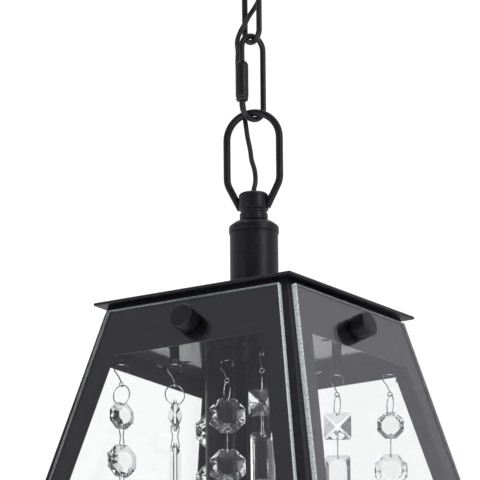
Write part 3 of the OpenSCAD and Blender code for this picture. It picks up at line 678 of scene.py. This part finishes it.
def makeBulb(i, s):
    low, high = (v.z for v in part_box(f"bulb_{i + 1}"))
    z = low + s["length"]
    w, l = s["width"], s["length"]
    shape = [(0.0, low), (0.0009, low + 0.0005), (0.055 * w, low + 0.004), (0.13 * w, low + 0.010),
             (0.22 * w, low + 0.016), (0.32 * w, low + 0.023), (0.40 * w, low + 0.030), (0.46 * w, low + 0.037),
             (0.49 * w, low + 0.043), (0.5 * w, z - 0.28 * l), (0.49 * w, z - 0.018), (0.45 * w, z - 0.012),
             (0.38 * w, z - 0.006), (0.29 * w, z - 0.002), (0.22 * w, z - 0.0005)]
    soft = [shape[0]] + [tuple(p)[:2] for p in smoothRoute([Vector((*p, 0)) for p in shape[1:]], 3)]
    inner = [(max(r - s["glass"], 0), q + (s["glass"] if k == 0 else 0)) for k, (r, q) in enumerate(soft)]
    inner[0] = (0, low + 0.0035)
    inner = [inner[0]] + [p for p in inner[1:] if p[1] > low + 0.004]
    glass = lathe(soft + inner[::-1], 40)
    place = turnZ(90 * i) @ Matrix.Translation((s["place"], s["place"], 0))
    pieceFrom(f"bulbGlass_{i + 1}", *moved(glass, place), finishes["bulbGlass"], f"lamp_{i + 1}", "bulb_glass",
              (f"bulb_{i + 1}",), 60)
    r = s["base"] / 2
    outline = [(0, high), (r * 0.5, high), (r * 0.6, high - 0.0016), (r * 0.93, high - 0.003)]
    turns = 40
    top, bottom = high - 0.0035, z + 0.003
    for k in range(turns + 1):
        q = top + (bottom - top) * k / turns
        outline.append((r * 0.965 + 0.0002 * math.cos(2 * math.pi * (top - q) / s["threadPitch"]), q))
    outline += [(r * 0.95, z + 0.0015), (r * 0.95, z - 0.0012), (r * 0.8, z - 0.0022), (0, z - 0.0022)]
    pieceFrom(f"bulbBase_{i + 1}", *moved(lathe(outline, 40), place), finishes["nickelBase"], f"lamp_{i + 1}",
              "bulb_glass", (f"bulb_{i + 1}",), 50)
    sticks = []
    for k in range(s["sticks"]):
        a = 2 * math.pi * k / s["sticks"]
        foot = Vector((0.0024 * math.cos(a), 0.0024 * math.sin(a), z - 0.014))
        tip = Vector((0.0042 * math.cos(a + 0.5), 0.0042 * math.sin(a + 0.5), z - 0.046))
        sticks.append(tubeParts([foot + (tip - foot) * t / 6 for t in range(7)], 0.0007, 10))
    pieceFrom(f"bulbSticks_{i + 1}", *moved(joined(sticks), place), finishes["glowStick"], f"lamp_{i + 1}",
              "bulb_glass", (f"bulb_{i + 1}",), 60)
    stem = [tubeParts([Vector((0, 0, z - 0.002)), Vector((0, 0, z - 0.008)), Vector((0, 0, z - 0.013))],
                      [0.0034, 0.0022, 0.0012], 20)]
    for k in range(s["sticks"]):
        a = 2 * math.pi * k / s["sticks"]
        prong = [Vector((q * math.cos(a), q * math.sin(a), z - down))
                 for q, down in ((0, 0.012), (0.0012, 0.0136), (0.0024, 0.0141))]
        stem.append(tubeParts(prong, 0.00025, 8))
    pieceFrom(f"bulbStem_{i + 1}", *moved(joined(stem), place), finishes["nickelBase"], f"lamp_{i + 1}",
              "bulb_glass", (f"bulb_{i + 1}",), 60)


for i in range(4):
    makeBulb(i, bulbSettings)


def makeSleeves():
    low, high = (v.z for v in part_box("lamp_sleeves"))
    parts = []
    for i in range(4):
        outline = filleted([(0.009, low), (0.01, low), (0.01, high), (0.009, high)], 0.0003, 3, closed=True)
        place = turnZ(90 * i) @ Matrix.Translation((bulbSettings["place"], bulbSettings["place"], 0))
        parts.append(moved(lathe(outline, 48, closed=True), place))
    pieceFrom("lampSleeves", *joined(parts), finishes["satinBlack"], "lantern", "black_satin", ("lamp_sleeves",))


makeSleeves()
print("Lantern: lamps in")

strandSettings = {
    "ring": 0.0146, "ringTwist": 18,  # degrees, of the ring from the way through its bead
    "wire": 0.0008, "hookWire": 0.0009, "hookDrop": 0.0142, "eyeRadius": 0.0015, "holeIn": 0.0022,
    "hole": 0.0018, "tie": 0.0156, "tieWidth": 0.0064, "hookWidth": 0.0086, "girdle": 0.0008,
    # place across, place back, turn of the hook, turn of the beads, kind
    "places": [
        (-66, -65, 45, -22, "octagons"), (66, -65, -45, 20, "octagons"), (66, 65, 45, -57, "octagons"),
        (-66, 65, -45, 60, "octagons"), (-35.5, -45, 45, 33, "bar"), (35.5, -45, -45, -75, "bar"),
        (35.5, 45, 45, -57, "bar"), (-35.5, 45, -45, 100, "bar"), (0, -34, 0, -57, "pair"), (34, 0, 90, 10, "pair"),
        (0, 34, 0, -50, "pair"), (-34, 0, 90, -40, "pair")],
    # shape, height, thickness of each bead down a strand
    "kinds": {
        "octagons": [("octagon", 0.0184, 0.008), ("octagon", 0.0224, 0.008), ("octagon", 0.0184, 0.008),
                     ("drop", 0.038, 0.009)],
        "bar": [("square", 0.0188, 0.010), ("bar", 0.076, 0.008)],
        "pair": [("octagon", 0.0244, 0.008), ("octagon", 0.0244, 0.008)]},
    "barWidth": 0.017, "dropWidth": 0.018,
}
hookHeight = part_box("hanger_tabs")[0].z + 0.0015


def cutBead(shape, size, thick, s):
    g, half = s["girdle"], thick / 2
    verts, faces = [], []
    if shape == "octagon":
        rim = [(size / 2 / math.cos(math.pi / 8) * math.cos(math.pi / 4 * i + math.pi / 8),
                size / 2 / math.cos(math.pi / 8) * math.sin(math.pi / 4 * i + math.pi / 8)) for i in range(8)]
    elif shape == "square":
        h, c = size / 2, 0.0011
        rim = [(h, -h + c), (h, h - c), (h - c, h), (-h + c, h), (-h, h - c), (-h, -h + c), (-h + c, -h), (h - c, -h)]
    elif shape == "bar":
        w, h, c = s["barWidth"] / 2, size / 2, 0.0016
        rim = [(w, -h + c), (w, h - c), (w - c, h), (-w + c, h), (-w, h - c), (-w, -h + c), (-w + c, -h), (w - c, -h)]
    else:
        w = s["dropWidth"]
        rim = [(w * 0.16, size / 2), (-w * 0.16, size / 2), (-w * 0.42, size * 0.12), (-w / 2, -size * 0.16),
               (-w * 0.33, -size * 0.38), (0, -size / 2), (w * 0.33, -size * 0.38), (w / 2, -size * 0.16),
               (w * 0.42, size * 0.12)]
    n = len(rim)
    for x in (g, -g):
        verts += [Vector((x, *p)) for p in rim]
    for i in range(n):
        j = (i + 1) % n
        faces.append((i, j, n + j, n + i))
    for side, base in ((1, 0), (-1, n)):
        start = len(verts)
        if shape == "octagon":
            star = [((rim[i][0] + rim[(i + 1) % n][0]) / 2 * 0.80, (rim[i][1] + rim[(i + 1) % n][1]) / 2 * 0.80)
                    for i in range(n)]
            table = [(p[0] * 0.50, p[1] * 0.50) for p in rim]
            verts += [Vector((side * (g + (half - g) * 0.50), *p)) for p in star]
            verts += [Vector((side * half, *p)) for p in table]
            for i in range(n):
                j = (i + 1) % n
                faces.append((base + i, base + j, start + i))
                faces.append((start + i, base + j, start + n + j))
                faces.append((start + i, start + n + j, start + n + i))
                faces.append((base + j, start + j, start + n + j))
            faces.append(tuple(start + n + i for i in range(n)))
        elif shape == "square":
            verts += [Vector((side * half, p[0] * 0.05, p[1] * 0.05)) for p in rim]
            for i in range(n):
                j = (i + 1) % n
                faces.append((base + i, base + j, start + j, start + i))
            faces.append(tuple(start + i for i in range(n)))
        elif shape == "bar":
            verts += [Vector((side * half * 0.98, p[0] * 0.52, p[1] * 0.86)) for p in rim]
            for i in range(n):
                j = (i + 1) % n
                faces.append((base + i, base + j, start + j, start + i))
            verts += [Vector((side * half, 0, 0.80 * size / 2)), Vector((side * half, 0, -0.80 * size / 2))]
            top, low = start + n, start + n + 1
            faces.append((start + 0, start + 1, top, low))
            faces.append((start + 1, start + 2, top))
            faces.append((start + 2, start + 3, top))
            faces.append((start + 3, start + 4, top))
            faces.append((start + 4, start + 5, low, top))
            faces.append((start + 5, start + 6, low))
            faces.append((start + 6, start + 7, low))
            faces.append((start + 7, start + 0, low))
        else:
            mid = [(p[0] * 0.72, p[1] * 0.80 - size * 0.01) for p in rim]
            table = [(p[0] * 0.36, p[1] * 0.55 - size * 0.02) for p in rim]
            verts += [Vector((side * (g + (half - g) * 0.55), *p)) for p in mid]
            verts += [Vector((side * half, *p)) for p in table]
            for i in range(n):
                j = (i + 1) % n
                faces.append((base + i, base + j, start + j, start + i))
                faces.append((start + i, start + j, start + n + j, start + n + i))
            faces.append(tuple(start + n + i for i in range(n)))
    mesh = bpy.data.meshes.new("cutBlank")
    mesh.from_pydata([tuple(v + Vector((0, 0, s["holeIn"] - size / 2))) for v in verts], [], faces)
    b = bmesh.new()
    b.from_mesh(mesh)
    bmesh.ops.triangulate(b, faces=b.faces)
    bmesh.ops.recalc_face_normals(b, faces=b.faces)
    b.to_mesh(mesh)
    b.free()
    return mesh


# cuts the thread holes through a bead
def drilled(mesh, heights, s):
    blank = bpy.data.objects.new("cutBlank", mesh)
    bpy.context.scene.collection.objects.link(blank)
    drills = []
    for z in heights:
        rod = lathe([(0, -0.01), (s["hole"] / 2, -0.01), (s["hole"] / 2, 0.01), (0, 0.01)], 14)
        verts, faces = moved(rod, Matrix.Translation((0, 0, z)) @ Matrix.Rotation(math.pi / 2, 4, "Y"))
        drill = bpy.data.meshes.new("drill")
        drill.from_pydata([tuple(v) for v in verts], [], faces)
        b = bmesh.new()
        b.from_mesh(drill)
        bmesh.ops.recalc_face_normals(b, faces=b.faces)
        b.to_mesh(drill)
        b.free()
        tool = bpy.data.objects.new("drill", drill)
        bpy.context.scene.collection.objects.link(tool)
        cut = blank.modifiers.new("hole", "BOOLEAN")
        cut.object, cut.operation, cut.solver = tool, "DIFFERENCE", "EXACT"
        drills.append(tool)
    bpy.context.view_layer.update()
    made = bpy.data.meshes.new_from_object(blank.evaluated_get(bpy.context.evaluated_depsgraph_get()))
    for o in drills + [blank]:
        bpy.data.objects.remove(o)
    return made


cutBeads = {}


def beadParts(shape, size, thick, last, s):
    key = (shape, size, last)
    if key not in cutBeads:
        holes = [0] if last else [0, 2 * s["holeIn"] - size]
        mesh = drilled(cutBead(shape, size, thick, s), holes, s)
        cutBeads[key] = ([v.co.copy() for v in mesh.vertices], [tuple(p.vertices) for p in mesh.polygons])
    return cutBeads[key]


def ringParts(radius, wire, sides=12, steps=40):
    route = [Vector((0, radius * math.cos(2 * math.pi * k / steps), radius * math.sin(2 * math.pi * k / steps)))
             for k in range(steps)]
    return tubeParts(route, wire / 2, sides, closed=True)


def hookParts(turn, s):
    h = s["hookWidth"] / 2
    eye = -s["hookDrop"]
    top = eye + s["eyeRadius"]
    bends = [(h - 0.0000, 0, -0.0052), (h + 0.0004, 0, -0.0030), (h + 0.0002, 0, -0.0012), (h - 0.0006, 0, -0.0001),
             (h * 0.5, 0, 0.0), (-h * 0.5, 0, 0.0), (-h + 0.0006, 0, -0.0001), (-h - 0.0003, 0, -0.0014),
             (-h - 0.0005, 0, -0.0036), (-h, 0, -0.0054), (-h / 2, 0, -0.0082), (-0.0008, 0, top + 0.0016),
             (0.0001, 0, top + 0.0002)]
    route = smoothRoute([Vector(p) for p in bends], 5)
    swell = s["hookWire"] / 2
    loop = moved(ringParts(s["eyeRadius"], s["wire"], 10, 28), Matrix.Translation((0, 0, eye)) @ turnZ(turn))
    return joined([tubeParts(route, swell, 10), loop])


def tieParts(low, high, s):
    w = s["tieWidth"] / 2 - 0.0004
    mid = (low + high) / 2
    bends = [(0, high), (w * 0.8, high - 0.0001), (w, high - 0.0012), (w * 0.86, high - 0.004), (w * 0.62, mid),
             (w * 0.86, low + 0.004), (w, low + 0.0012), (w * 0.8, low + 0.0001), (0, low)]
    bends += [(-x, z) for x, z in bends[-2:0:-1]]
    route = smoothRoute([Vector((x, 0, z)) for x, z in bends], 4, closed=True)
    return tubeParts(route, 0.0004, 8, closed=True)


def makeStrand(i, x, y, hookTurn, beadTurn, kind, s):
    wires, glass = [], []
    ringRadius = (s["ring"] - s["wire"]) / 2
    ringMiddle = -s["hookDrop"] - s["eyeRadius"] + s["wire"] + 0.0001 - ringRadius
    holeTop = ringMiddle - ringRadius - 0.001 + s["wire"] / 2 + 0.0001
    face = turnZ(beadTurn)
    wires.append(moved(hookParts(beadTurn - hookTurn, s), turnZ(hookTurn)))
    wires.append(moved(ringParts(ringRadius, s["wire"], 12, 48),
                       face @ Matrix.Translation((0, 0, ringMiddle)) @ turnZ(90 + s["ringTwist"])))
    beads = s["kinds"][kind]
    for k, (shape, size, thick) in enumerate(beads):
        last = k == len(beads) - 1
        glass.append(moved(beadParts(shape, size, thick, last, s), face @ Matrix.Translation((0, 0, holeTop))))
        if not last:
            lowHole = holeTop - size + 2 * s["holeIn"]
            wires.append(moved(tieParts(lowHole - s["tie"], lowHole, s), face))
            holeTop = lowHole - s["tie"]
    place = Matrix.Translation((x * mm, y * mm, hookHeight))
    pieceFrom(f"strandWires_{i}", *moved(joined(wires), place), finishes["chromeWire"], f"strand_{i}",
              "chrome_wire", (f"wires_{i}",), 70)
    piece = pieceFrom(f"strandBeads_{i}", *moved(joined(glass), place), finishes["crystal"], f"strand_{i}",
                      "crystal", (f"crystals_{i}",), 2)
    piece.data.polygons.foreach_set("use_smooth", [False] * len(piece.data.polygons))


for i, place in enumerate(strandSettings["places"], 1):
    makeStrand(i, *place, strandSettings)
print("Lantern: strands hung")

canopySettings = {"sides": 128, "ringSides": 24, "ringWire": 0.0045, "ringRadius": 0.011, "ringTurn": -19,
                  "knurls": 40, "knurlDepth": 0.0003}


def makeCanopy(s):
    low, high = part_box("canopy")
    r, z = high.x, low.z
    outline = filleted([(r, 0), (r, -0.003), (r - 0.0015, -0.0045), (r - 0.003, z + 0.006), (r - 0.005, z + 0.002),
                        (r - 0.009, z), (0.0112, z), (0.0112, z + 0.0012), (r - 0.0095, z + 0.0012),
                        (r - 0.0062, z + 0.0029), (r - 0.0042, z + 0.0062), (r - 0.0028, -0.005),
                        (r - 0.0012, -0.0034), (r - 0.0012, 0)], 0.0012, 4, closed=True)
    pieceFrom("canopyShell", *lathe(outline, s["sides"], closed=True), finishes["satinBlack"], "ceiling",
              "black_satin", ("canopy",))
    low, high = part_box("collar_ring")
    r = high.x
    outline = filleted([(0.0111, low.z), (r - 0.002, low.z), (r, low.z + 0.0015), (r, high.z - 0.001),
                        (r - 0.001, high.z), (0.0111, high.z)], 0.0004, 3, closed=True)
    rows = [k for k, p in enumerate(outline) if p[0] > r - 0.0008]

    def knurl(k, a):
        return -s["knurlDepth"] * (0.5 + 0.5 * math.cos(s["knurls"] * a)) if k in rows else 0
    pieceFrom("collarRing", *lathe(outline, s["knurls"] * 8, closed=True, ripple=knurl), finishes["satinBlack"],
              "ceiling", "black_satin", ("collar_ring",), 40)
    low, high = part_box("canopy_loop")
    collarLow = low.z + 2 * s["ringRadius"] + s["ringWire"] - 0.0015 - s["ringWire"] / 2
    outline = filleted([(0.0018, collarLow), (0.006, collarLow), (0.011, collarLow + 0.002), (0.011, high.z - 0.0008),
                        (0.0102, high.z), (0.0052, high.z), (0.0052, collarLow + 0.009), (0.0018, collarLow + 0.009)],
                       0.0004, 3, closed=True)
    ringMiddle = low.z + s["ringWire"] / 2 + s["ringRadius"]
    route = []
    for k in range(57):
        a = math.radians(100) + math.radians(340) * k / 56
        route.append(Vector((s["ringRadius"] * math.cos(a), 0, ringMiddle + s["ringRadius"] * math.sin(a))))
    ring = moved(tubeParts(route, s["ringWire"] / 2, s["ringSides"]), turnZ(s["ringTurn"]))
    pieceFrom("canopyLoop", *joined([lathe(outline, 64, closed=True), ring]), finishes["satinBlack"], "ceiling",
              "black_satin", ("canopy_loop",), 40)


makeCanopy(canopySettings)

kept = {
    "crossbar": "zincSteel", "ceiling_nipple": "zincSteel", "nipple_nuts": "zincSteel", "stem_nipple": "zincSteel",
    "stem_nuts": "zincSteel", "pane_studs": "zincSteel", "ceiling_pan": "glossBlack", "hanger_tabs": "satinBlack",
    "lamp_sockets": "phenolic",
}
for name, look in kept.items():
    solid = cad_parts[name].data
    solid.materials.clear()
    solid.materials.append(finishes[look])
print("Lantern: canopy and kept parts finished")

studioSettings = {
    "floorHeight": -4.4, "floorSize": 30,
    "front": 0.13, "back": 0.60, "seen": 1.1, "tint": (0.93, 0.91, 1.0, 1),
    # turn from the camera, height, distance, width, height of the panel, brightness
    "panels": {
        "softboxRight": (48, 18, 3.2, 1.3, 2.4, 2.2),
        "softboxLeft": (-56, 4, 3.2, 1.0, 1.3, 1.1),
        "softboxLow": (-12, -34, 2.6, 1.1, 1.1, 2.2),
        "softboxTop": (170, 78, 2.6, 2.0, 2.0, 1.6)},
}


def makeStudio(s):
    size = s["floorSize"] / 2
    mesh = bpy.data.meshes.new("studioFloor")
    mesh.from_pydata([(-size, -size, 0), (size, -size, 0), (size, size, 0), (-size, size, 0)], [], [(0, 1, 2, 3)])
    mesh.materials.append(finishes["palePaper"])
    ground = bpy.data.objects.new("studioFloor", mesh)
    ground.location.z = s["floorHeight"]
    bpy.context.scene.collection.objects.link(ground)
    middle = Vector((0, 0, -0.40))
    for name, (turn, height, far, wide, tall, glow) in s["panels"].items():
        a = math.radians(cameraSettings["azimuth"] + turn - 90)
        e = math.radians(height)
        way = Vector((math.cos(a) * math.cos(e), math.sin(a) * math.cos(e), math.sin(e)))
        panel = bpy.data.lights.new(name, "AREA")
        panel.shape, panel.size, panel.size_y = "RECTANGLE", wide, tall
        panel.energy = glow * math.pi * wide * tall
        lamp = bpy.data.objects.new(name, panel)
        lamp.matrix_world = Matrix.Translation(middle + way * far) @ way.to_track_quat("Z", "Y").to_matrix().to_4x4()
        lamp.visible_camera = False
        bpy.context.scene.collection.objects.link(lamp)
    world.use_nodes = True
    tree = world.node_tree
    tree.nodes.clear()
    place = tree.nodes.new("ShaderNodeTexCoord")
    facing = tree.nodes.new("ShaderNodeVectorMath")
    facing.operation = "DOT_PRODUCT"
    a = math.radians(cameraSettings["azimuth"] + 90)
    facing.inputs[1].default_value = (math.cos(a), math.sin(a), 0.15)
    span = tree.nodes.new("ShaderNodeMapRange")
    span.interpolation_type = "SMOOTHSTEP"
    for key, value in (("From Min", -0.75), ("From Max", 0.55), ("To Min", s["front"]), ("To Max", s["back"])):
        span.inputs[key].default_value = value
    rays = tree.nodes.new("ShaderNodeLightPath")
    straight = tree.nodes.new("ShaderNodeMapRange")
    straight.interpolation_type = "SMOOTHSTEP"
    straight.inputs["From Min"].default_value, straight.inputs["From Max"].default_value = 0.5, 0.9
    plain = tree.nodes.new("ShaderNodeMath")
    plain.operation = "MAXIMUM"
    through = tree.nodes.new("ShaderNodeMath")
    through.operation = "MULTIPLY_ADD"
    pick = tree.nodes.new("ShaderNodeMix")
    pick.inputs["B"].default_value = s["seen"]
    air = tree.nodes.new("ShaderNodeBackground")
    tint = tree.nodes.new("ShaderNodeMix")
    tint.data_type = "RGBA"
    tint.inputs[6].default_value, tint.inputs[7].default_value = s["tint"], (1, 1, 1, 1)
    out = tree.nodes.new("ShaderNodeOutputWorld")
    tree.links.new(place.outputs["Generated"], facing.inputs[0])
    tree.links.new(facing.outputs["Value"], span.inputs["Value"])
    tree.links.new(facing.outputs["Value"], straight.inputs["Value"])
    tree.links.new(straight.outputs["Result"], through.inputs[0])
    tree.links.new(rays.outputs["Is Transmission Ray"], through.inputs[1])
    tree.links.new(rays.outputs["Is Camera Ray"], plain.inputs[0])
    tree.links.new(rays.outputs["Is Diffuse Ray"], plain.inputs[1])
    tree.links.new(plain.outputs["Value"], through.inputs[2])
    tree.links.new(through.outputs["Value"], pick.inputs["Factor"])
    tree.links.new(span.outputs["Result"], pick.inputs["A"])
    tree.links.new(pick.outputs["Result"], air.inputs["Strength"])
    tree.links.new(through.outputs["Value"], tint.inputs["Factor"])
    tree.links.new(tint.outputs[2], air.inputs["Color"])
    tree.links.new(air.outputs["Background"], out.inputs["Surface"])


makeStudio(studioSettings)
print("Lantern: studio lit")
